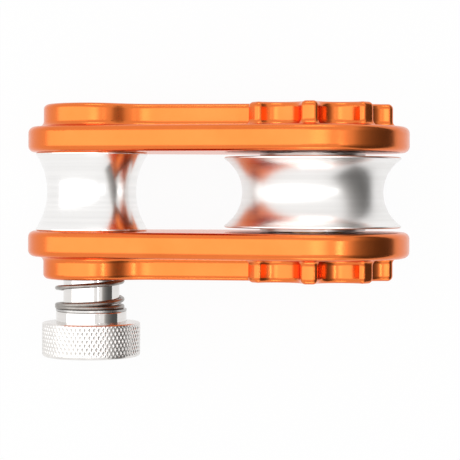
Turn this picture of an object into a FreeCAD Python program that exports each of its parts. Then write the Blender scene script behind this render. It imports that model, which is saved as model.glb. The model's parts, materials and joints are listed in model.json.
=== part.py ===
import FreeCAD, Part
import math
import os

# Two-cheek rope grab: a grooved sheave on ball bearings and a fixed post run
# between two ribbed cheek plates.  The lower cheek swings open about the
# sheave axle once the sprung lock screw is turned out of the post.
#
# All lengths are millimetres.  Each piece is drawn in a bench frame: the
# sheave axle lies along +z, the sheave centre is the origin, and the post
# stands at -x.  place() then lays the grab on the back edges of its cheeks.

Vector = FreeCAD.Vector

# ---------------------------------------------------------------- dimensions
# Centres and cheek plates
POST_TO_SHEAVE = 55.2
CHEEK_GAP = 19.5
CHEEK_THICKNESS = 6.35
POST_END_RADIUS = 15.8
SHEAVE_END_RADIUS = 23.8
CHEEK_EDGE_ROUND = 1.6

# Raised rib on the outside of each cheek
RIB_HEIGHT = 5.6
RIB_POST_RADIUS = 12.0
RIB_ARM_WIDTH = 11.2
RIB_NECK_ROUND = 13.0
RIB_ARM_ROUND = 3.0
LUG_COUNT = 8
LUG_TIP_RADIUS = 19.7
LUG_WIDTH = 4.2
LUG_SCALLOP_RADIUS = 5.5
LUG_CORNER_ROUND = 1.3
RIB_EDGE_ROUND = 1.25
RIB_ROOT_ROUND = 1.4
RIB_OVERLAP = 2.0

# Fixed post
POST_FLANGE_DIAMETER = 27.8
POST_ROOT_DIAMETER = 22.2
POST_LAND = 0.5
POST_END_CHAMFER = 0.3
POST_SCREW_DIAMETER = 8.0
POST_SCREW_HEAD_DIAMETER = 13.0
POST_SCREW_HEAD_HEIGHT = 5.0
POST_SCREW_KEY = 5.0
POST_SCREW_GRIP = 7.5
DOWEL_DIAMETER = 3.0
DOWEL_LENGTH = 8.0
DOWEL_CIRCLE_RADIUS = 8.6
DOWEL_COUNT = 2

# Sheave and its two deep-groove ball bearings
SHEAVE_DIAMETER = 43.6
SHEAVE_ROOT_DIAMETER = 34.8
SHEAVE_WIDTH = 17.3
SHEAVE_LIP = 0.45
SHEAVE_LIP_CHAMFER = 0.2
BEARING_BORE = 10.0
BEARING_OUTSIDE = 26.0
BEARING_WIDTH = 8.0
BEARING_SPACING = 1.5
INNER_RING_SHOULDER = 14.8
OUTER_RING_SHOULDER = 21.2
BALL_DIAMETER = 4.76
BALL_COUNT = 7
CAGE_BACK = 0.55
CAGE_RADIAL_THICKNESS = 1.6
CAGE_MOUTH_DEPTH = 1.0
SEAL_THICKNESS = 0.5
SEAL_INSET = 0.2
SHEAVE_SHOULDER_HEIGHT = 2.0

# Axle stack
SIDE_WASHER_DIAMETER = 26.0
SIDE_WASHER_THICKNESS = 0.7
SIDE_WASHER_SEAT_DIAMETER = 14.2
SIDE_WASHER_SEAT_HEIGHT = 0.1
AXLE_SPACER_DIAMETER = 15.0
AXLE_HEAD_DIAMETER = 16.0
AXLE_HEAD_HEIGHT = 6.0
AXLE_KEY = 7.0
BUSH_DIAMETER = 13.0
BUSH_FLANGE_RECESS = 0.6
NUT_ACROSS_FLATS = 16.0
NUT_HEIGHT = 5.0
NUT_WASHER_DIAMETER = 19.6
NUT_WASHER_THICKNESS = 1.6

# Lock screw, its spring and its knob
LOCK_TRAVEL = 6.0
LOCK_SHANK_DIAMETER = 14.0
LOCK_THREAD_DIAMETER = 9.9
LOCK_TIP_INSET = 0.15
LOCK_TIP_CHAMFER = 0.9
LOCK_SEAT_GAP = 0.1
COLLAR_STEP = 1.8
COLLAR_THICKNESS = 2.8
COLLAR_DROP = 8.0
RETAINER_STEP = 0.8
RETAINER_THICKNESS = 1.0
RETAINER_GROOVE_DEPTH = 0.7
RETAINER_GAP_ANGLE = 40.0
SPRING_WIRE = 1.05
SPRING_TURNS = 2.4
SPRING_START_ANGLE = 45.0
SPRING_RECESS_DEPTH = 1.2
SLIP_WASHER_THICKNESS = 0.5
KNOB_DIAMETER = 24.4
KNOB_HEIGHT = 8.5
KNOB_CHAMFER = 0.7
KNOB_STUB_DIAMETER = 10.0
KNOB_STUB_LENGTH = 5.2
KNOB_SCREW_DIAMETER = 5.0
KNOB_SCREW_HEAD_DIAMETER = 9.2
KNOB_SCREW_HEAD_HEIGHT = 2.6
KNOB_SCREW_GRIP = 7.0
KNOB_SCREW_KEY = 3.0

# Clearances
RUNNING_CLEARANCE = 0.04
HOLE_CLEARANCE = 0.05
HEAD_CLEARANCE = 0.3
AXIAL_CLEARANCE = 0.05
BALL_CLEARANCE = 0.04
SEAL_CLEARANCE = 0.15
RETAINER_CLEARANCE = 0.4
SPRING_PIN_CLEARANCE = 0.65
SPRING_RECESS_CLEARANCE = 0.4
HEAD_RECESS = 0.3
HOLE_CHAMFER = 0.4
THREAD_RUNOUT = 1.8
THREAD_RELIEF = 1.0

# ------------------------------------------------------------ derived places
TILT = math.asin((SHEAVE_END_RADIUS - POST_END_RADIUS) / POST_TO_SHEAVE)
CHEEK_INNER = CHEEK_GAP / 2
CHEEK_OUTER = CHEEK_INNER + CHEEK_THICKNESS
RIB_OUTER = CHEEK_OUTER + RIB_HEIGHT
BEARING_MIDDLE = (BEARING_SPACING + BEARING_WIDTH) / 2
BEARING_FACE = BEARING_SPACING / 2 + BEARING_WIDTH
BALL_PITCH_RADIUS = (BEARING_BORE + BEARING_OUTSIDE) / 4
SIDE_WASHER_FACE = BEARING_FACE + SIDE_WASHER_THICKNESS
AXLE_HEAD_SEAT = RIB_OUTER - HEAD_RECESS - AXLE_HEAD_HEIGHT
POST_SCREW_SEAT = RIB_OUTER - HEAD_RECESS - POST_SCREW_HEAD_HEIGHT
NUT_SEAT = RIB_OUTER - HEAD_RECESS - NUT_HEIGHT
BUSH_END = NUT_SEAT - NUT_WASHER_THICKNESS
BUSH_FLANGE_FACE = CHEEK_INNER + BUSH_FLANGE_RECESS
COLLAR_DIAMETER = LOCK_SHANK_DIAMETER + 2 * COLLAR_STEP
RETAINER_DIAMETER = LOCK_SHANK_DIAMETER + 2 * RETAINER_STEP
SPRING_DIAMETER = LOCK_SHANK_DIAMETER + 2 * (SPRING_PIN_CLEARANCE + SPRING_WIRE)
SPRING_RECESS_DIAMETER = SPRING_DIAMETER + 2 * SPRING_RECESS_CLEARANCE
LOCK_TIP = CHEEK_INNER + LOCK_TIP_INSET
LOCK_SHOULDER = CHEEK_INNER + LOCK_SEAT_GAP + LOCK_TRAVEL
RETAINER_FRONT = LOCK_SHOULDER + HEAD_CLEARANCE
RETAINER_BACK = RETAINER_FRONT + RETAINER_THICKNESS
GUIDE_FRONT = RETAINER_BACK + AXIAL_CLEARANCE
SPRING_SEAT = RIB_OUTER - SPRING_RECESS_DEPTH
COLLAR_FRONT = RIB_OUTER + COLLAR_DROP
COLLAR_BACK = COLLAR_FRONT + COLLAR_THICKNESS
SLIP_WASHER_FRONT = COLLAR_FRONT - SLIP_WASHER_THICKNESS
KNOB_BACK = COLLAR_BACK + KNOB_HEIGHT
LOCK_HOLE_DEPTH = LOCK_TRAVEL + THREAD_RUNOUT


# -------------------------------------------------------------------- helpers
def disc(radius, low, high, x=0.0):
    """Solid cylinder along the bench z axis."""
    return Part.makeCylinder(radius, high - low, Vector(x, 0, low))


def ring(outer, inner, low, high, x=0.0):
    return disc(outer, low, high, x).cut(disc(inner, low, high, x))


def turned(profile, x=0.0):
    """Solid of revolution of a closed (radius, height) outline."""
    corners = [Vector(radius, 0, height) for radius, height in profile]
    outline = Part.makePolygon(corners + corners[:1])
    solid = Part.Face(outline).revolve(Vector(0, 0, 0), Vector(0, 0, 1), 360)
    solid.translate(Vector(x, 0, 0))
    return solid


def hexagon(across_flats, low, high, x=0.0):
    corner = across_flats / math.sqrt(3)
    points = []
    for index in range(7):
        angle = math.radians(60 * index + 30)
        points.append(Vector(x + corner * math.cos(angle), corner * math.sin(angle), low))
    return Part.Face(Part.makePolygon(points)).extrude(Vector(0, 0, high - low))


def edges_at(solid, height, radius=None, x=0.0):
    """Edges that lie flat at a height, optionally only circles of one radius about x."""
    found = []
    for edge in solid.Edges:
        box = edge.BoundBox
        if abs(box.ZMin - height) > 1e-4 or abs(box.ZMax - height) > 1e-4:
            continue
        if radius is not None:
            curve = edge.Curve
            if not isinstance(curve, Part.Circle) or abs(curve.Radius - radius) > 1e-4:
                continue
            if abs(curve.Center.x - x) > 1e-4:
                continue
        found.append(edge)
    return found


def flipped(solid):
    """Turn a piece drawn on the upper side over to the lower side."""
    return solid.mirror(Vector(0, 0, 0), Vector(0, 0, 1))


def place(solid):
    """Lay the bench frame down: axle along +Y, back edges of the cheeks level."""
    laid = solid.copy()
    laid.rotate(Vector(0, 0, 0), Vector(1, 0, 0), -90)
    laid.rotate(Vector(0, 0, 0), Vector(0, 1, 0), -math.degrees(TILT))
    return laid


# --------------------------------------------------------------- cheek plates
def pear_face():
    """Outline of a cheek: two round ends joined by their common tangents."""
    post = Vector(-POST_TO_SHEAVE, 0, 0)
    normal = Vector(-math.sin(TILT), math.cos(TILT), 0)
    mirrored = Vector(normal.x, -normal.y, 0)
    post_top = post + normal * POST_END_RADIUS
    post_low = post + mirrored * POST_END_RADIUS
    sheave_top = normal * SHEAVE_END_RADIUS
    sheave_low = mirrored * SHEAVE_END_RADIUS
    edges = [
        Part.Arc(post_low, post - Vector(POST_END_RADIUS, 0, 0), post_top).toShape(),
        Part.makeLine(post_top, sheave_top),
        Part.Arc(sheave_top, Vector(SHEAVE_END_RADIUS, 0, 0), sheave_low).toShape(),
        Part.makeLine(sheave_low, post_low),
    ]
    return Part.Face(Part.Wire(edges))


def neck_face():
    """Round pad about the post that necks down into a parallel arm."""
    half = RIB_ARM_WIDTH / 2
    reach = RIB_POST_RADIUS + RIB_NECK_ROUND
    run = math.sqrt(reach ** 2 - (half + RIB_NECK_ROUND) ** 2)
    post = Vector(-POST_TO_SHEAVE, 0, 0)
    centre = post + Vector(run, half + RIB_NECK_ROUND, 0)
    towards = (centre - post).normalize()
    leave = post + towards * RIB_POST_RADIUS
    join = Vector(centre.x, half, 0)
    middle = centre + ((leave - centre) + (join - centre)).normalize() * RIB_NECK_ROUND

    def low(point):
        return Vector(point.x, -point.y, 0)

    end = Vector(0, half, 0)
    edges = [
        Part.Arc(leave, post - Vector(RIB_POST_RADIUS, 0, 0), low(leave)).toShape(),
        Part.Arc(low(leave), low(middle), low(join)).toShape(),
        Part.makeLine(low(join), low(end)),
        Part.makeLine(low(end), end),
        Part.makeLine(end, join),
        Part.Arc(join, middle, leave).toShape(),
    ]
    return Part.Face(Part.Wire(edges))


def lugged_ring():
    """Thin disc whose rim is scalloped into lugs; one lug points along the arm."""
    half_step = math.pi / LUG_COUNT
    reach = (LUG_WIDTH / 2 + LUG_SCALLOP_RADIUS) / math.sin(half_step)
    scallops = []
    for index in range(LUG_COUNT):
        angle = half_step * (2 * index + 1)
        centre = Vector(reach * math.cos(angle), reach * math.sin(angle), 0)
        scallops.append(Part.makeCylinder(LUG_SCALLOP_RADIUS, 1, centre))
    return disc(LUG_TIP_RADIUS, 0, 1).cut(scallops)


def rib_face():
    """Plan of the raised rib: neck, arm and lugged ring, with its corners rounded."""
    union = neck_face().extrude(Vector(0, 0, 1)).fuse(lugged_ring()).removeSplitter()
    plan = [face for face in union.Faces if face.BoundBox.ZMax < 0.5][0]
    for step in (RIB_ARM_ROUND, -RIB_ARM_ROUND, -LUG_CORNER_ROUND, LUG_CORNER_ROUND):
        plan = plan.makeOffset2D(step, 0, False, False, False).Faces[0]
    return plan


def cheek_blank():
    """Cheek plate with its rib, inner face at the gap, before any holes."""
    plate = pear_face()
    plate.translate(Vector(0, 0, CHEEK_INNER))
    plate = plate.extrude(Vector(0, 0, CHEEK_THICKNESS))
    rims = edges_at(plate, CHEEK_INNER) + edges_at(plate, CHEEK_OUTER)
    plate = plate.makeFillet(CHEEK_EDGE_ROUND, rims)
    plan = rib_face()
    plan.translate(Vector(0, 0, CHEEK_OUTER - RIB_OVERLAP))
    rib = plan.extrude(Vector(0, 0, RIB_HEIGHT + RIB_OVERLAP))
    rib = rib.makeFillet(RIB_EDGE_ROUND, edges_at(rib, RIB_OUTER))
    blank = plate.fuse(rib).removeSplitter()
    return blank.makeFillet(RIB_ROOT_ROUND, rib_foot_edges(blank, plan.OuterWire))


def rib_foot_edges(blank, outline):
    """Edges along the foot of the rib, where it meets the plate."""
    found = []
    for edge in edges_at(blank, CHEEK_OUTER):
        middle = edge.valueAt((edge.FirstParameter + edge.LastParameter) / 2)
        middle.z -= RIB_OVERLAP
        if outline.distToShape(Part.Vertex(middle))[0] < 1e-3:
            found.append(edge)
    return found


def chamfered(solid, height, radius, x=0.0):
    return solid.makeChamfer(HOLE_CHAMFER, edges_at(solid, height, radius, x))


def upper_cheek(blank):
    post_x = -POST_TO_SHEAVE
    head_bore = (AXLE_HEAD_DIAMETER + HEAD_CLEARANCE) / 2
    screw_bore = (POST_SCREW_HEAD_DIAMETER + HEAD_CLEARANCE) / 2
    cheek = blank.cut([
        disc(BEARING_BORE / 2 + HOLE_CLEARANCE, CHEEK_INNER, RIB_OUTER),
        disc(head_bore, AXLE_HEAD_SEAT, RIB_OUTER),
        disc(POST_SCREW_DIAMETER / 2 + HOLE_CLEARANCE, CHEEK_INNER, RIB_OUTER, post_x),
        disc(screw_bore, POST_SCREW_SEAT, RIB_OUTER, post_x),
    ] + dowel_solids())
    cheek = chamfered(cheek, RIB_OUTER, head_bore)
    return chamfered(cheek, RIB_OUTER, screw_bore, post_x)


def lower_cheek(blank):
    post_x = -POST_TO_SHEAVE
    nut_bore = (NUT_WASHER_DIAMETER + HEAD_CLEARANCE) / 2
    spring_bore = SPRING_RECESS_DIAMETER / 2
    cheek = blank.cut([
        disc(BUSH_DIAMETER / 2 + RUNNING_CLEARANCE, CHEEK_INNER, RIB_OUTER),
        disc(AXLE_SPACER_DIAMETER / 2 + HOLE_CLEARANCE, CHEEK_INNER,
             BUSH_FLANGE_FACE + AXIAL_CLEARANCE),
        disc(nut_bore, BUSH_END - AXIAL_CLEARANCE, RIB_OUTER),
        disc(LOCK_SHANK_DIAMETER / 2 + RUNNING_CLEARANCE, CHEEK_INNER, RIB_OUTER, post_x),
        disc((RETAINER_DIAMETER + RETAINER_CLEARANCE) / 2, CHEEK_INNER, GUIDE_FRONT, post_x),
        disc(spring_bore, SPRING_SEAT, RIB_OUTER, post_x),
    ])
    cheek = chamfered(cheek, RIB_OUTER, nut_bore)
    cheek = chamfered(cheek, RIB_OUTER, spring_bore, post_x)
    return flipped(cheek)


# ----------------------------------------------------------------- fixed post
def grooved_drum(outside, root, width, land, chamfer):
    """Drum along z with one round rope groove between two narrow, chamfered lands."""
    half = width / 2
    rim = half - chamfer
    end = outside / 2 - chamfer
    mouth = half - land
    profile = Part.Wire([
        Part.makeLine(Vector(0, 0, -half), Vector(end, 0, -half)),
        Part.makeLine(Vector(end, 0, -half), Vector(outside / 2, 0, -rim)),
        Part.makeLine(Vector(outside / 2, 0, -rim), Vector(outside / 2, 0, -mouth)),
        Part.Arc(Vector(outside / 2, 0, -mouth), Vector(root / 2, 0, 0),
                 Vector(outside / 2, 0, mouth)).toShape(),
        Part.makeLine(Vector(outside / 2, 0, mouth), Vector(outside / 2, 0, rim)),
        Part.makeLine(Vector(outside / 2, 0, rim), Vector(end, 0, half)),
        Part.makeLine(Vector(end, 0, half), Vector(0, 0, half)),
        Part.makeLine(Vector(0, 0, half), Vector(0, 0, -half)),
    ])
    return Part.Face(profile).revolve(Vector(0, 0, 0), Vector(0, 0, 1), 360)


def dowel_solids():
    """Dowel pins across the joint between the upper cheek and the post."""
    dowels = []
    for index in range(DOWEL_COUNT):
        dowel = Part.makeCylinder(DOWEL_DIAMETER / 2, DOWEL_LENGTH,
                                  Vector(0, DOWEL_CIRCLE_RADIUS, CHEEK_INNER - DOWEL_LENGTH / 2))
        dowel.rotate(Vector(0, 0, 0), Vector(0, 0, 1), 360 * index / DOWEL_COUNT)
        dowel.translate(Vector(-POST_TO_SHEAVE, 0, 0))
        dowels.append(dowel)
    return dowels


def rope_post():
    post_x = -POST_TO_SHEAVE
    post = grooved_drum(POST_FLANGE_DIAMETER, POST_ROOT_DIAMETER, CHEEK_GAP, POST_LAND,
                        POST_END_CHAMFER)
    post.translate(Vector(post_x, 0, 0))
    thread_radius = LOCK_THREAD_DIAMETER / 2 + HOLE_CLEARANCE
    screw_end = CHEEK_INNER - POST_SCREW_GRIP
    post = post.cut([
        disc(POST_SCREW_DIAMETER / 2, screw_end - THREAD_RELIEF, CHEEK_INNER, post_x),
        disc(thread_radius, -CHEEK_INNER, LOCK_HOLE_DEPTH - CHEEK_INNER, post_x),
    ] + dowel_solids())
    return chamfered(post, -CHEEK_INNER, thread_radius, post_x)


def socket_screw(diameter, head_diameter, head_height, key, seat, end, x=0.0):
    """Low-head cap screw: head above the seat, shank down to the end height."""
    head = disc(head_diameter / 2, seat, seat + head_height, x)
    head = head.makeChamfer(HOLE_CHAMFER, edges_at(head, seat + head_height))
    shank = disc(diameter / 2, end, seat, x)
    shank = shank.makeChamfer(HOLE_CHAMFER, edges_at(shank, end))
    socket = hexagon(key, seat + head_height / 2, seat + head_height, x)
    return head.fuse(shank).removeSplitter().cut(socket)


def post_screw():
    return socket_screw(POST_SCREW_DIAMETER, POST_SCREW_HEAD_DIAMETER, POST_SCREW_HEAD_HEIGHT,
                        POST_SCREW_KEY, POST_SCREW_SEAT, CHEEK_INNER - POST_SCREW_GRIP,
                        -POST_TO_SHEAVE)


# --------------------------------------------------------- sheave and bearings
def sheave():
    drum = grooved_drum(SHEAVE_DIAMETER, SHEAVE_ROOT_DIAMETER, SHEAVE_WIDTH, SHEAVE_LIP,
                        SHEAVE_LIP_CHAMFER)
    bore = BEARING_OUTSIDE / 2
    seats = [disc(bore, BEARING_SPACING / 2, SHEAVE_WIDTH / 2),
             disc(bore, -SHEAVE_WIDTH / 2, -BEARING_SPACING / 2)]
    return drum.cut(seats + [disc(bore - SHEAVE_SHOULDER_HEIGHT, -SHEAVE_WIDTH, SHEAVE_WIDTH)])


def race():
    """Torus that the balls run in, cut from both bearing rings."""
    return Part.makeTorus(BALL_PITCH_RADIUS, BALL_DIAMETER / 2 + BALL_CLEARANCE)


def bearing_inner_ring():
    half = BEARING_WIDTH / 2
    return ring(INNER_RING_SHOULDER / 2, BEARING_BORE / 2, -half, half).cut(race())


def bearing_outer_ring():
    half = BEARING_WIDTH / 2
    return ring(BEARING_OUTSIDE / 2, OUTER_RING_SHOULDER / 2, -half, half).cut(race())


def ball_centre(index):
    angle = 2 * math.pi * index / BALL_COUNT
    return Vector(BALL_PITCH_RADIUS * math.cos(angle), BALL_PITCH_RADIUS * math.sin(angle), 0)


def bearing_balls():
    balls = [Part.makeSphere(BALL_DIAMETER / 2, ball_centre(index)) for index in range(BALL_COUNT)]
    return Part.makeCompound(balls)


def bearing_cage():
    """Crown cage: a ring behind the balls with fingers between them."""
    pocket = BALL_DIAMETER / 2 + SEAL_CLEARANCE
    outer = BALL_PITCH_RADIUS + CAGE_RADIAL_THICKNESS / 2
    inner = BALL_PITCH_RADIUS - CAGE_RADIAL_THICKNESS / 2
    crown = ring(outer, inner, -CAGE_MOUTH_DEPTH, pocket + CAGE_BACK)
    return crown.cut([Part.makeSphere(pocket, ball_centre(index)) for index in range(BALL_COUNT)])


def bearing_seals():
    """Two rubber shields of one bearing, held by the outer ring."""
    outer = OUTER_RING_SHOULDER / 2
    inner = INNER_RING_SHOULDER / 2 + SEAL_CLEARANCE
    top = BEARING_WIDTH / 2 - SEAL_INSET
    upper = ring(outer, inner, top - SEAL_THICKNESS, top)
    return Part.makeCompound([upper, flipped(upper)])


# ------------------------------------------------------------------ axle stack
def side_washer():
    """Cover washer: seats on the inner ring and stands clear of the outer ring."""
    bore = BEARING_BORE / 2 + HOLE_CLEARANCE
    seat = BEARING_FACE + SIDE_WASHER_SEAT_HEIGHT
    plate = ring(SIDE_WASHER_DIAMETER / 2, bore, seat, SIDE_WASHER_FACE)
    return plate.fuse(ring(SIDE_WASHER_SEAT_DIAMETER / 2, bore, BEARING_FACE, seat)).removeSplitter()


def axle_spacer():
    bore = BEARING_BORE / 2 + HOLE_CLEARANCE
    return ring(AXLE_SPACER_DIAMETER / 2, bore, SIDE_WASHER_FACE, CHEEK_INNER)


def inner_ring_spacer():
    half = BEARING_SPACING / 2
    return ring(INNER_RING_SHOULDER / 2, BEARING_BORE / 2 + HOLE_CLEARANCE, -half, half)


def axle_bolt():
    return socket_screw(BEARING_BORE, AXLE_HEAD_DIAMETER, AXLE_HEAD_HEIGHT, AXLE_KEY,
                        AXLE_HEAD_SEAT, -NUT_SEAT - NUT_HEIGHT)


def pivot_bush():
    """Flanged sleeve that the lower cheek swings on, clamped by the nut."""
    bore = BEARING_BORE / 2 + HOLE_CLEARANCE
    flange = ring(AXLE_SPACER_DIAMETER / 2, bore, SIDE_WASHER_FACE, BUSH_FLANGE_FACE)
    sleeve = ring(BUSH_DIAMETER / 2, bore, BUSH_FLANGE_FACE, BUSH_END)
    return flipped(flange.fuse(sleeve).removeSplitter())


def nut_washer():
    bore = BEARING_BORE / 2 + HOLE_CLEARANCE
    return flipped(ring(NUT_WASHER_DIAMETER / 2, bore, BUSH_END, NUT_SEAT))


def axle_nut():
    nut = hexagon(NUT_ACROSS_FLATS, NUT_SEAT, NUT_SEAT + NUT_HEIGHT)
    corner = NUT_ACROSS_FLATS / math.sqrt(3)
    blank = disc(corner, NUT_SEAT, NUT_SEAT + NUT_HEIGHT)
    blank = blank.makeChamfer(HOLE_CHAMFER, edges_at(blank, NUT_SEAT + NUT_HEIGHT))
    return flipped(nut.common(blank).cut(disc(BEARING_BORE / 2, 0, RIB_OUTER)))


# ----------------------------------------------------------------- lock screw
def lock_pin():
    """Threaded tip, sliding shank, collar and knob stub, turned from one bar."""
    tip = LOCK_THREAD_DIAMETER / 2
    shank = LOCK_SHANK_DIAMETER / 2
    groove = shank - RETAINER_GROOVE_DEPTH
    collar = COLLAR_DIAMETER / 2
    stub = KNOB_STUB_DIAMETER / 2
    pin = turned([
        (0, LOCK_TIP), (tip - LOCK_TIP_CHAMFER, LOCK_TIP), (tip, LOCK_TIP + LOCK_TIP_CHAMFER),
        (tip, LOCK_SHOULDER), (shank, LOCK_SHOULDER), (shank, RETAINER_FRONT),
        (groove, RETAINER_FRONT), (groove, RETAINER_BACK), (shank, RETAINER_BACK),
        (shank, COLLAR_FRONT), (collar, COLLAR_FRONT), (collar, COLLAR_BACK),
        (stub, COLLAR_BACK), (stub, COLLAR_BACK + KNOB_STUB_LENGTH),
        (0, COLLAR_BACK + KNOB_STUB_LENGTH),
    ], -POST_TO_SHEAVE)
    rim = edges_at(pin, COLLAR_FRONT, collar, -POST_TO_SHEAVE)
    pin = pin.makeFillet(HOLE_CHAMFER, rim)
    hole_start = KNOB_BACK - KNOB_SCREW_GRIP - THREAD_RELIEF
    bore = disc(KNOB_SCREW_DIAMETER / 2, hole_start, KNOB_BACK, -POST_TO_SHEAVE)
    return flipped(pin.cut(bore))


def knob_screw():
    """Countersunk screw that holds the knob on the end of the lock pin."""
    radius = KNOB_SCREW_DIAMETER / 2
    head = KNOB_SCREW_HEAD_DIAMETER / 2
    face = KNOB_BACK - HEAD_RECESS
    screw = turned([
        (0, KNOB_BACK - KNOB_SCREW_GRIP), (radius, KNOB_BACK - KNOB_SCREW_GRIP),
        (radius, face - KNOB_SCREW_HEAD_HEIGHT), (head, face), (0, face),
    ], -POST_TO_SHEAVE)
    socket = hexagon(KNOB_SCREW_KEY, face - KNOB_SCREW_HEAD_HEIGHT / 2, face, -POST_TO_SHEAVE)
    return flipped(screw.cut(socket))


def knurled_knob():
    """Round knob; its bore takes the stub and its back face takes the screw."""
    radius = KNOB_DIAMETER / 2
    stub = KNOB_STUB_DIAMETER / 2
    screw = KNOB_SCREW_DIAMETER / 2 + HOLE_CLEARANCE
    head = KNOB_SCREW_HEAD_DIAMETER / 2
    stub_end = COLLAR_BACK + KNOB_STUB_LENGTH
    face = KNOB_BACK - HEAD_RECESS
    knob = turned([
        (stub, COLLAR_BACK), (radius - KNOB_CHAMFER, COLLAR_BACK),
        (radius, COLLAR_BACK + KNOB_CHAMFER), (radius, KNOB_BACK - KNOB_CHAMFER),
        (radius - KNOB_CHAMFER, KNOB_BACK), (head + HOLE_CLEARANCE, KNOB_BACK),
        (head + HOLE_CLEARANCE, face), (screw, face - KNOB_SCREW_HEAD_HEIGHT),
        (screw, stub_end), (stub, stub_end),
    ], -POST_TO_SHEAVE)
    return flipped(knob)


def pin_retaining_ring():
    """Open ring in the pin's groove; it stops the pin from leaving the cheek."""
    outer = RETAINER_DIAMETER / 2
    inner = LOCK_SHANK_DIAMETER / 2 - RETAINER_GROOVE_DEPTH + HOLE_CLEARANCE
    hoop = ring(outer, inner, RETAINER_FRONT, RETAINER_BACK)
    gap = Part.makeCylinder(outer * 2, RETAINER_THICKNESS, Vector(0, 0, RETAINER_FRONT),
                            Vector(0, 0, 1), RETAINER_GAP_ANGLE)
    hoop = hoop.cut(gap)
    hoop.translate(Vector(-POST_TO_SHEAVE, 0, 0))
    return flipped(hoop)


def slip_washer():
    outer = COLLAR_DIAMETER / 2
    bore = LOCK_SHANK_DIAMETER / 2 + RUNNING_CLEARANCE
    return flipped(ring(outer, bore, SLIP_WASHER_FRONT, COLLAR_FRONT, -POST_TO_SHEAVE))


def lock_spring():
    """Open coil spring between the cheek's recess and the slip washer."""
    radius = (SPRING_DIAMETER - SPRING_WIRE) / 2
    low = SPRING_SEAT + SPRING_WIRE / 2 + AXIAL_CLEARANCE
    high = SLIP_WASHER_FRONT - SPRING_WIRE / 2 - AXIAL_CLEARANCE
    pitch = (high - low) / SPRING_TURNS
    helix = Part.makeHelix(pitch, high - low, radius)
    tangent = Vector(0, radius, pitch / (2 * math.pi))
    section = Part.Wire(Part.makeCircle(SPRING_WIRE / 2, Vector(radius, 0, 0), tangent))
    coil = Part.Wire(helix).makePipeShell([section], True, True)
    coil.rotate(Vector(0, 0, 0), Vector(0, 0, 1), SPRING_START_ANGLE)
    coil.translate(Vector(-POST_TO_SHEAVE, 0, low))
    return flipped(coil)


# --------------------------------------------------------------------- export
def shifted(solid, height):
    moved = solid.copy()
    moved.translate(Vector(0, 0, height))
    return moved


def bearing_nodes():
    """The pieces of both bearings, named for the side that each stands on."""
    makers = {
        "inner_ring": bearing_inner_ring(),
        "outer_ring": bearing_outer_ring(),
        "balls": bearing_balls(),
        "cage": bearing_cage(),
        "seals": bearing_seals(),
    }
    nodes = {}
    for name, solid in makers.items():
        nodes["upper_bearing_" + name] = shifted(solid, BEARING_MIDDLE)
        nodes["lower_bearing_" + name] = flipped(shifted(solid, BEARING_MIDDLE))
    return nodes


def all_nodes():
    blank = cheek_blank()
    nodes = {
        "upper_cheek_plate": upper_cheek(blank),
        "lower_cheek_plate": lower_cheek(blank),
        "rope_post": rope_post(),
        "post_dowel_pins": Part.makeCompound(dowel_solids()),
        "post_screw": post_screw(),
        "sheave": sheave(),
        "axle_bolt": axle_bolt(),
        "upper_axle_spacer": axle_spacer(),
        "upper_side_washer": side_washer(),
        "lower_side_washer": flipped(side_washer()),
        "inner_ring_spacer": inner_ring_spacer(),
        "pivot_bush": pivot_bush(),
        "nut_washer": nut_washer(),
        "axle_nut": axle_nut(),
        "lock_pin": lock_pin(),
        "knurled_knob": knurled_knob(),
        "knob_screw": knob_screw(),
        "pin_retaining_ring": pin_retaining_ring(),
        "slip_washer": slip_washer(),
        "lock_spring": lock_spring(),
    }
    nodes.update(bearing_nodes())
    return nodes


def export():
    os.makedirs("parts", exist_ok=True)
    for name, solid in all_nodes().items():
        placed = place(solid)
        assert placed.isValid(), name + " is not a valid shape"
        placed.exportStep("parts/" + name + ".step")
        print(name, len(placed.Solids), round(placed.Volume, 2))


export()
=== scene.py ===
import json
import math

import bpy
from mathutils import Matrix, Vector

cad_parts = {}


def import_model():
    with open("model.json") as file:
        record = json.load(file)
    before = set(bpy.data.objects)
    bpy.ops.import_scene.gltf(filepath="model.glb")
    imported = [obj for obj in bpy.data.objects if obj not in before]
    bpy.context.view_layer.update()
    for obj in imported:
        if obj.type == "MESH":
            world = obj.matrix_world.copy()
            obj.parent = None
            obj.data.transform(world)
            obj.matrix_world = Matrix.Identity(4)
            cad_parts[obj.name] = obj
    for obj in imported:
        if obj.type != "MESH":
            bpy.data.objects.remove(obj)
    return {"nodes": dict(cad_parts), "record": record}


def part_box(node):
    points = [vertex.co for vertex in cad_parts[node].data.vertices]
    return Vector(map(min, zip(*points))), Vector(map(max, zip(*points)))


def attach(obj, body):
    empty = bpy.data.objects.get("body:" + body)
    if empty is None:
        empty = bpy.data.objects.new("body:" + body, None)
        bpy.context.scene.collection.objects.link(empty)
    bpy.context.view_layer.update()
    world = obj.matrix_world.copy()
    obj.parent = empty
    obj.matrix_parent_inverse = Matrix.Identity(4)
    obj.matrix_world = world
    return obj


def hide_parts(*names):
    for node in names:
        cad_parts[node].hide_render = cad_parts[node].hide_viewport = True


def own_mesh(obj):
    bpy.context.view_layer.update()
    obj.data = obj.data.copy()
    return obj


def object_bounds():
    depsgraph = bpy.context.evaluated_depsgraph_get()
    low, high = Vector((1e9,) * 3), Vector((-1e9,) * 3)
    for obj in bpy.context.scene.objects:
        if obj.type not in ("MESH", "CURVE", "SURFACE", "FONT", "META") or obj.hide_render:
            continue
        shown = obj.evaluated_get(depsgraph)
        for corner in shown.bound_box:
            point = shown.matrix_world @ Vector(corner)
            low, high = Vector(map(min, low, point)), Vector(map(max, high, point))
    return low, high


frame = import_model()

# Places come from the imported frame.  A turned piece is drawn with its axis
# along +Y, which is the direction of both axles, and "height" is its Y.
MM = 0.001
CAD_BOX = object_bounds()


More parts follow.
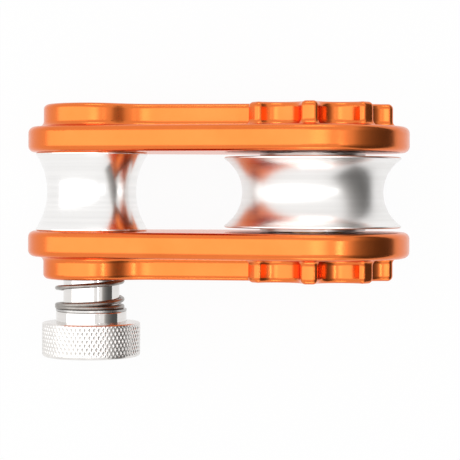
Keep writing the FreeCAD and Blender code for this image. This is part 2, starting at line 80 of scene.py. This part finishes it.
def node_span(node, axis):
    low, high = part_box(node)
    return low[axis], high[axis]


def node_centre(node):
    low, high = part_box(node)
    return Vector([(a + b) / 2 for a, b in zip(low, high)])


POST = node_centre("rope_post")
POST_AXIS = (POST.x, POST.z)
FLOOR_LEVEL = CAD_BOX[0][2]


# ------------------------------------------------------------------ materials
class Nodes:
    """A short way to write a node material."""

    def __init__(self, name):
        self.material = bpy.data.materials.new(name)
        self.material.use_nodes = True
        self.tree = self.material.node_tree
        self.shader = self.tree.nodes["Principled BSDF"]

    def add(self, kind, **values):
        node = self.tree.nodes.new(kind)
        for key, value in values.items():
            setattr(node, key, value)
        return node

    def link(self, source, target):
        self.tree.links.new(source, target)

    def set(self, **values):
        for key, value in values.items():
            self.shader.inputs[key.replace("_", " ")].default_value = value

    def position(self):
        return self.add("ShaderNodeTexCoord").outputs["Object"]

    def noise(self, scale, detail=3.0, vector=None, roughness=0.5):
        node = self.add("ShaderNodeTexNoise")
        node.inputs["Scale"].default_value = scale
        node.inputs["Detail"].default_value = detail
        node.inputs["Roughness"].default_value = roughness
        self.link(vector or self.position(), node.inputs["Vector"])
        return node.outputs["Fac"]

    def ramp(self, factor, *stops):
        """Colour ramp; each stop is (place, colour)."""
        node = self.add("ShaderNodeValToRGB")
        for index, (place, colour) in enumerate(stops):
            if index < 2:
                stop = node.color_ramp.elements[index]
            else:
                stop = node.color_ramp.elements.new(place)
            stop.position = place
            stop.color = (*colour, 1.0)
        self.link(factor, node.inputs["Fac"])
        return node.outputs["Color"]

    def span(self, factor, low, high):
        """Maps 0..1 to low..high."""
        node = self.add("ShaderNodeMapRange")
        node.inputs["To Min"].default_value = low
        node.inputs["To Max"].default_value = high
        self.link(factor, node.inputs["Value"])
        return node.outputs["Result"]

    def bump(self, height, distance, strength=1.0):
        node = self.add("ShaderNodeBump")
        node.inputs["Strength"].default_value = strength
        node.inputs["Distance"].default_value = distance
        self.link(height, node.inputs["Height"])
        self.link(node.outputs["Normal"], self.shader.inputs["Normal"])
        return node

    def rings(self, axis_point, rings_per_metre, detail=2.0):
        """Noise that changes along an axle and away from it, but not round it: turning marks."""
        parts = self.add("ShaderNodeSeparateXYZ")
        self.link(self.position(), parts.inputs["Vector"])
        offsets = []
        for output, centre in (("X", axis_point[0]), ("Z", axis_point[1])):
            node = self.add("ShaderNodeMath", operation="SUBTRACT")
            node.inputs[1].default_value = centre
            self.link(parts.outputs[output], node.inputs[0])
            offsets.append(node.outputs[0])
        flat = self.add("ShaderNodeCombineXYZ")
        self.link(offsets[0], flat.inputs["X"])
        self.link(offsets[1], flat.inputs["Z"])
        length = self.add("ShaderNodeVectorMath", operation="LENGTH")
        self.link(flat.outputs[0], length.inputs[0])
        along = self.add("ShaderNodeCombineXYZ")
        self.link(length.outputs["Value"], along.inputs["X"])
        self.link(parts.outputs["Y"], along.inputs["Y"])
        return self.noise(rings_per_metre, detail, along.outputs[0])


def mixed(nodes, factor, dark, light):
    nodes.link(nodes.ramp(factor, (0.3, dark), (0.7, light)), nodes.shader.inputs["Base Color"])


def anodised_orange():
    nodes = Nodes("anodised_orange")
    nodes.set(Metallic=1.0, Coat_Weight=0.12, Coat_Roughness=0.18)
    mixed(nodes, nodes.noise(90, 4), (0.78, 0.174, 0.033), (0.84, 0.198, 0.042))
    nodes.link(nodes.span(nodes.noise(700, 3), 0.20, 0.26), nodes.shader.inputs["Roughness"])
    nodes.bump(nodes.noise(9000, 2), 0.000004, 0.5)
    return nodes.material


def turned_metal(name, axis_point, dark, light, roughness, mark_depth, anisotropic, pitch=4200):
    """Metal with fine lathe marks round an axle."""
    nodes = Nodes(name)
    nodes.set(Metallic=1.0, Anisotropic=anisotropic)
    marks = nodes.rings(axis_point, pitch)
    mixed(nodes, nodes.rings(axis_point, pitch / 5, 4), dark, light)
    nodes.link(nodes.span(marks, *roughness), nodes.shader.inputs["Roughness"])
    nodes.bump(marks, mark_depth)
    if anisotropic:
        tangent = nodes.add("ShaderNodeTangent", direction_type="RADIAL", axis="Y")
        nodes.link(tangent.outputs[0], nodes.shader.inputs["Tangent"])
    return nodes.material


def grained_metal(name, dark, light, roughness, grain=2500, depth=0.000003):
    """Metal with a fine even grain, such as plated or ground steel."""
    nodes = Nodes(name)
    nodes.set(Metallic=1.0)
    mixed(nodes, nodes.noise(grain / 6, 4), dark, light)
    grain_noise = nodes.noise(grain, 3)
    nodes.link(nodes.span(grain_noise, *roughness), nodes.shader.inputs["Roughness"])
    nodes.bump(grain_noise, depth)
    return nodes.material


def moulded(name, dark, light, roughness):
    """Black rubber or nylon with a faint moulded texture."""
    nodes = Nodes(name)
    mixed(nodes, nodes.noise(600, 3), dark, light)
    grain_noise = nodes.noise(5000, 2)
    nodes.link(nodes.span(grain_noise, *roughness), nodes.shader.inputs["Roughness"])
    nodes.bump(grain_noise, 0.00001)
    return nodes.material


def grey(value, warmth=0.0):
    return (value, value * (1 - warmth), value * (1 - 2 * warmth))


def make_materials():
    sheave_axis = (0.0, 0.0)
    return {
        "anodised_orange": anodised_orange(),
        "polished_aluminium": turned_metal(
            "polished_aluminium", POST_AXIS, grey(0.86, 0.012), grey(0.92, 0.012),
            roughness=(0.15, 0.24), mark_depth=0.000002, anisotropic=0.0),
        "turned_aluminium": turned_metal(
            "turned_aluminium", sheave_axis, grey(0.84, 0.02), grey(0.92, 0.015),
            roughness=(0.24, 0.36), mark_depth=0.000006, anisotropic=0.3),
        "brushed_washer": turned_metal(
            "brushed_washer", sheave_axis, grey(0.42, 0.03), grey(0.55, 0.03),
            roughness=(0.22, 0.34), mark_depth=0.000003, anisotropic=0.3),
        "polished_steel": turned_metal(
            "polished_steel", POST_AXIS, grey(0.74, 0.03), grey(0.80, 0.03),
            roughness=(0.04, 0.09), mark_depth=0.0000008, anisotropic=0.0),
        "knurled_steel": grained_metal(
            "knurled_steel", grey(0.74, 0.03), grey(0.84, 0.03), (0.20, 0.32), 3000, 0.000003),
        "spring_steel": grained_metal(
            "spring_steel", grey(0.26, 0.07), grey(0.42, 0.07), (0.22, 0.36), 2500, 0.000004),
        "zinc_steel": grained_metal("zinc_steel", grey(0.50, 0.01), grey(0.64, 0.01), (0.24, 0.38)),
        "bright_steel": grained_metal("bright_steel", grey(0.58, 0.02), grey(0.68, 0.02), (0.16, 0.26)),
        "bearing_steel": grained_metal("bearing_steel", grey(0.60, 0.02), grey(0.70, 0.02), (0.08, 0.16)),
        "bush_bronze": grained_metal(
            "bush_bronze", (0.42, 0.23, 0.09), (0.52, 0.30, 0.13), (0.22, 0.34)),
        "cage_nylon": moulded("cage_nylon", grey(0.012), grey(0.02), (0.45, 0.6)),
        "seal_rubber": moulded("seal_rubber", grey(0.01), grey(0.018), (0.5, 0.7)),
    }


def paint_nodes():
    """Gives every CAD node the material of its slot in the record."""
    for part in frame["record"]["subparts"]:
        node = frame["nodes"][part["node"]]
        for material_slot in node.material_slots:
            material_slot.material = MATERIALS[part["material_slot"]]


# --------------------------------------------------------------------- meshes
def new_mesh(name, points, faces, slot, body, *replaced):
    mesh = bpy.data.meshes.new(name)
    mesh.from_pydata(points, [], faces)
    mesh.materials.append(MATERIALS[slot])
    mesh.shade_smooth()
    piece = bpy.data.objects.new(name, mesh)
    bpy.context.scene.collection.objects.link(piece)
    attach(piece, body)
    if replaced:
        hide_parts(*replaced)
    return piece


def sharpen(piece, degrees):
    """Keeps edges sharper than an angle crisp, and the rest smooth."""
    piece.data.set_sharp_from_angle(angle=math.radians(degrees))


def turned_points(profile, segments, axis_point, relief=None):
    """Points of a lathe surface: profile is (radius, height) from one pole to the other."""
    points = []
    for radius, height in profile:
        for step in range(segments):
            angle = 2 * math.pi * step / segments
            out = radius + (relief(angle, radius, height) if relief else 0.0)
            points.append((axis_point[0] + out * math.sin(angle), height,
                           axis_point[1] + out * math.cos(angle)))
    return points


def turned_faces(rows, segments, closed):
    faces = []
    for row in range(rows - 1):
        for step in range(segments):
            after = (step + 1) % segments
            first, second = row * segments, (row + 1) * segments
            faces.append((first + step, first + after, second + after, second + step))
    if closed:
        faces.append(tuple(range(segments))[::-1])
        faces.append(tuple((rows - 1) * segments + step for step in range(segments)))
    return faces


def even_steps(low, high, step):
    """Heights from low to high, no more than a step apart."""
    count = max(1, math.ceil(abs(high - low) / step))
    return [low + (high - low) * index / count for index in range(count + 1)]


# ----------------------------------------------------------------------- knob
KNURL_AROUND = 66
KNURL_PITCH = 1.9 * MM
KNURL_DEPTH = 0.27 * MM
KNURL_RIDGE = 0.38
KNURL_FADE = 0.35 * MM
KNOB_CHAMFER = 0.6 * MM
KNOB_STEPS = KNURL_AROUND * 10
KNOB_DISH = 0.3 * MM
STUB_RADIUS = 5.0 * MM
STUB_LENGTH = 5.2 * MM
SCREW_HEAD_RADIUS = 4.65 * MM
SCREW_RADIUS = 2.55 * MM
SCREW_SEAT_DEPTH = 2.9 * MM
WALL_ROWS_PER_PITCH = 14


def knurl_pit(angle, height, low, high):
    """Depth of the diamond pits pressed into the knob's wall."""
    around = KNURL_AROUND * angle / (2 * math.pi)
    along = (height - (low + high) / 2) / KNURL_PITCH
    nearest = 1.0
    for line in (around + along, around - along):
        from_line = abs(line - round(line)) * 2
        nearest = min(nearest, from_line)
    pit = max(0.0, (nearest - KNURL_RIDGE) / (1 - KNURL_RIDGE))
    fade = min(1.0, (height - low) / KNURL_FADE, (high - height) / KNURL_FADE)
    return KNURL_DEPTH * pit * max(0.0, fade)


def knob():
    """Knob with its diamond knurl as real pits; its bore and screw seat follow the CAD knob."""
    low_corner, high_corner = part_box("knurled_knob")
    back, front = low_corner[1], high_corner[1]
    radius = (high_corner[0] - low_corner[0]) / 2
    wall_low = back + KNOB_CHAMFER
    wall_high = front - KNOB_CHAMFER / 2

    def relief(angle, at_radius, height):
        if at_radius < radius - MM / 1000:
            return 0.0
        return -knurl_pit(angle, height, wall_low, wall_high)

    collar_face = front
    screw_seat = back + SCREW_SEAT_DEPTH
    stub_end = collar_face - STUB_LENGTH
    profile = [
        (STUB_RADIUS, stub_end), (STUB_RADIUS, collar_face),
        (radius - KNOB_CHAMFER * 1.4, collar_face),
        (radius - KNOB_CHAMFER * 0.5, collar_face - KNOB_CHAMFER * 0.1),
    ]
    wall_heights = even_steps(wall_high, wall_low, KNURL_PITCH / WALL_ROWS_PER_PITCH)
    profile += [(radius, height) for height in wall_heights]
    profile += [
        (radius - KNOB_CHAMFER * 0.25, back + KNOB_CHAMFER * 0.35),
        (radius - KNOB_CHAMFER, back), (SCREW_HEAD_RADIUS, back),
        (SCREW_HEAD_RADIUS, back + KNOB_DISH), (SCREW_RADIUS, screw_seat), (SCREW_RADIUS, stub_end),
    ]
    points = turned_points(profile, KNOB_STEPS, POST_AXIS, relief)
    rows = len(profile)
    faces = turned_faces(rows, KNOB_STEPS, False)
    for step in range(KNOB_STEPS):
        after = (step + 1) % KNOB_STEPS
        last = (rows - 1) * KNOB_STEPS
        faces.append((last + step, last + after, after, step))
    piece = new_mesh("knurled_knob_visual", points, faces, "knurled_steel", "lock_screw", "knurled_knob")
    sharpen(piece, 24)
    return piece


# --------------------------------------------------------------------- spring
SPRING_WIRE = 0.52 * MM
SPRING_RADIUS = 8.15 * MM
SPRING_LEAN = -0.4 * MM
SPRING_STEPS = 60
WIRE_SIDES = 20
# Height of the wire's centre above the slip washer at each half turn from the closed end.
SPRING_LIFTS = [0.55, 0.57, 0.98, 2.30, 5.15, 6.85, 8.10]


def smooth_lift(turn):
    """Height along the wire: a smooth curve through the lifts."""
    place = min(max(turn * 2, 0.0), len(SPRING_LIFTS) - 1.0)
    index = min(int(place), len(SPRING_LIFTS) - 2)
    part = place - index

    def lift(number):
        return SPRING_LIFTS[min(max(number, 0), len(SPRING_LIFTS) - 1)]

    before, low, high, after = (lift(index + offset) for offset in (-1, 0, 1, 2))
    slope_low = (high - before) / 2
    slope_high = (after - low) / 2
    square, cube = part * part, part ** 3
    return (low * (2 * cube - 3 * square + 1) + slope_low * (cube - 2 * square + part)
            + high * (3 * square - 2 * cube) + slope_high * (cube - square))


def spring():
    """Coil with a closed end at the slip washer."""
    seat = node_span("slip_washer", 1)[1]
    turns = (len(SPRING_LIFTS) - 1) / 2
    count = int(SPRING_STEPS * turns)
    centres = []
    for step in range(count + 1):
        turn = turns * step / count
        angle = 2 * math.pi * turn
        out = Vector((-math.cos(angle), 0.0, math.sin(angle)))
        centre = Vector((POST.x + SPRING_LEAN, seat + smooth_lift(turn) * MM, POST.z))
        centres.append((centre + out * SPRING_RADIUS, out))
    points = []
    for index, (centre, out) in enumerate(centres):
        ahead = centres[min(index + 1, count)][0] - centres[max(index - 1, 0)][0]
        side = ahead.cross(out).normalized()
        for corner in range(WIRE_SIDES):
            angle = 2 * math.pi * corner / WIRE_SIDES
            points.append(centre + (out * math.cos(angle) + side * math.sin(angle)) * SPRING_WIRE)
    faces = turned_faces(count + 1, WIRE_SIDES, True)
    piece = new_mesh("lock_spring_visual", points, faces, "spring_steel", "swing_cheek", "lock_spring")
    sharpen(piece, 50)
    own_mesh(piece)
    return piece


# --------------------------------------------------------------------- studio
FOCAL_LENGTH = 125.2
SENSOR = 36.0
CAMERA_DISTANCE = 0.395
CAMERA_RIGHT = -0.0204
CAMERA_SHIFT = -0.083
CAMERA_YAW = math.radians(3.0)
CAMERA_ROLL = math.radians(0.2)


def camera():
    data = bpy.data.cameras.new("camera")
    data.lens = FOCAL_LENGTH
    data.sensor_width = SENSOR
    data.shift_y = CAMERA_SHIFT
    data.clip_start = 0.01
    piece = bpy.data.objects.new("camera", data)
    out = Vector((-math.sin(CAMERA_YAW), 0.0, math.cos(CAMERA_YAW)))
    right = Vector((math.cos(CAMERA_YAW), 0.0, math.sin(CAMERA_YAW)))
    piece.location = out * CAMERA_DISTANCE + right * CAMERA_RIGHT
    piece.rotation_euler = (0.0, -CAMERA_YAW, CAMERA_ROLL)
    bpy.context.scene.collection.objects.link(piece)
    bpy.context.scene.camera = piece


def see_white(tree, shader, strength=1.0):
    """Camera, glossy and transmission rays see white; other rays see the given shader."""
    path = tree.nodes.new("ShaderNodeLightPath")
    first = tree.nodes.new("ShaderNodeMath")
    first.operation = "MAXIMUM"
    tree.links.new(path.outputs["Is Camera Ray"], first.inputs[0])
    tree.links.new(path.outputs["Is Glossy Ray"], first.inputs[1])
    second = tree.nodes.new("ShaderNodeMath")
    second.operation = "MAXIMUM"
    tree.links.new(first.outputs[0], second.inputs[0])
    tree.links.new(path.outputs["Is Transmission Ray"], second.inputs[1])
    mix = tree.nodes.new("ShaderNodeMixShader")
    tree.links.new(second.outputs[0], mix.inputs["Fac"])
    tree.links.new(shader, mix.inputs[1])
    return mix, path


def world():
    scene_world = bpy.data.worlds.new("studio")
    scene_world.use_nodes = True
    tree = scene_world.node_tree
    light = tree.nodes["Background"]
    light.inputs["Color"].default_value = (1.0, 1.0, 1.0, 1.0)
    light.inputs["Strength"].default_value = 0.75
    white = tree.nodes.new("ShaderNodeBackground")
    white.inputs["Color"].default_value = (1.0, 1.0, 1.0, 1.0)
    white.inputs["Strength"].default_value = 1.0
    mix, _ = see_white(tree, light.outputs[0])
    tree.links.new(white.outputs[0], mix.inputs[2])
    tree.links.new(mix.outputs[0], tree.nodes["World Output"].inputs["Surface"])
    bpy.context.scene.world = scene_world


def plane(name, corners, material):
    mesh = bpy.data.meshes.new(name)
    mesh.from_pydata(corners, [], [tuple(range(len(corners)))])
    mesh.materials.append(material)
    piece = bpy.data.objects.new(name, mesh)
    bpy.context.scene.collection.objects.link(piece)
    return piece


FLOOR_HALF = 0.6
FLOOR_SHADE_SHARE = 0.05


def floor():
    """White sheet under the object: it keeps a soft shadow and looks white elsewhere."""
    material = bpy.data.materials.new("floor_white")
    material.use_nodes = True
    tree = material.node_tree
    diffuse = tree.nodes.new("ShaderNodeBsdfDiffuse")
    diffuse.inputs["Color"].default_value = (0.92, 0.92, 0.92, 1.0)
    glow = tree.nodes.new("ShaderNodeEmission")
    glow.inputs["Strength"].default_value = 1.0
    shaded = tree.nodes.new("ShaderNodeMixShader")
    shaded.inputs["Fac"].default_value = 1 - FLOOR_SHADE_SHARE
    tree.links.new(diffuse.outputs[0], shaded.inputs[1])
    tree.links.new(glow.outputs[0], shaded.inputs[2])
    mix, _ = see_white(tree, diffuse.outputs[0])
    tree.links.new(shaded.outputs[0], mix.inputs[2])
    tree.links.new(mix.outputs[0], tree.nodes["Material Output"].inputs["Surface"])
    half, level = FLOOR_HALF, FLOOR_LEVEL - 0.00002
    corners = [(-half, -half, level), (half, -half, level), (half, half, level), (-half, half, level)]
    plane("floor", corners, material)


def reflected_only(piece):
    piece.visible_camera = False
    piece.visible_diffuse = False
    piece.visible_shadow = False
    piece.visible_transmission = False


CARD_PLACE = 0.16
CARD_HALF_WIDTH = 0.25
CARD_TOP = 0.20
CARD_SLOPE = 0.45
# Painted shade tones of the reflection-only card, from dark at the floor to white at its top.
CARD_PAINTED_SHADE_TONES = [(0.0, 0.10), (0.15, 0.10), (0.32, 0.14), (0.49, 0.20), (0.75, 0.36), (0.9, 0.6), (1.0, 0.9)]


def painted_shade_card():
    """Tall card beside the object, glowing in painted tones that fade from dark at the floor to white at
    its slanted top.

    It only shows in the metal: painted shade in the reflections, like the unlit side of a studio.
    """
    material = bpy.data.materials.new("painted_shade_card")
    material.use_nodes = True
    tree = material.node_tree
    place = tree.nodes.new("ShaderNodeTexCoord")
    height = tree.nodes.new("ShaderNodeVectorMath")
    height.operation = "DOT_PRODUCT"
    height.inputs[1].default_value = (0.0, CARD_SLOPE / CARD_TOP, 1.0 / CARD_TOP)
    tree.links.new(place.outputs["Object"], height.inputs[0])
    ramp = tree.nodes.new("ShaderNodeValToRGB")
    for index, (stop_place, tone) in enumerate(CARD_PAINTED_SHADE_TONES):
        stops = ramp.color_ramp.elements
        stop = stops[index] if index < 2 else stops.new(stop_place)
        stop.position = stop_place
        stop.color = (tone, tone * 0.97, tone * 0.94, 1.0)
    tree.links.new(height.outputs["Value"], ramp.inputs["Fac"])
    # The card glows with its painted shade tones; no lamp lights it.
    tone_shader = tree.nodes.new("ShaderNodeEmission")
    tree.links.new(ramp.outputs["Color"], tone_shader.inputs["Color"])
    tree.links.new(tone_shader.outputs[0], tree.nodes["Material Output"].inputs["Surface"])
    half, rise = CARD_HALF_WIDTH, CARD_HALF_WIDTH * CARD_SLOPE
    corners = [(CARD_PLACE, -half, FLOOR_LEVEL), (CARD_PLACE, half, FLOOR_LEVEL),
               (CARD_PLACE, half, CARD_TOP - rise), (CARD_PLACE, -half, CARD_TOP + rise)]
    reflected_only(plane("painted_shade_card", corners, material))


def soft_light(name, degrees_right, degrees_up_frame, distance, width, height, power, shape="RECTANGLE"):
    """Area lamp that faces the object, placed by its angle from straight above."""
    data = bpy.data.lights.new(name, "AREA")
    data.shape = shape
    data.size = width
    data.size_y = height
    data.energy = power
    piece = bpy.data.objects.new(name, data)
    right = math.radians(degrees_right)
    frame_up = math.radians(degrees_up_frame)
    direction = Vector((math.sin(right) * math.cos(frame_up), math.sin(frame_up),
                        math.cos(right) * math.cos(frame_up)))
    target = Vector((CAMERA_RIGHT, 0.0, 0.0))
    piece.location = target + direction * distance
    piece.rotation_euler = direction.to_track_quat("Z", "Y").to_euler()
    bpy.context.scene.collection.objects.link(piece)


def lights():
    soft_light("key_softbox", -38, 2, 0.75, 0.50, 1.70, 2.65)
    soft_light("top_softbox", 5, 2, 0.80, 0.14, 0.34, 0.16)
    soft_light("side_lamp", 27, -3, 0.70, 0.07, 0.07, 0.12, "ELLIPSE")
    for side in (-1, 1):
        soft_light(f"edge_lamp_{side + 1}", 8, side * 74, 0.75, 0.34, 0.08, 0.42)


def studio():
    camera()
    world()
    floor()
    painted_shade_card()
    lights()


# ---------------------------------------------------------------------- build
MATERIALS = make_materials()
paint_nodes()
knob()
spring()
studio()
bpy.context.scene.view_settings.view_transform = "Standard"
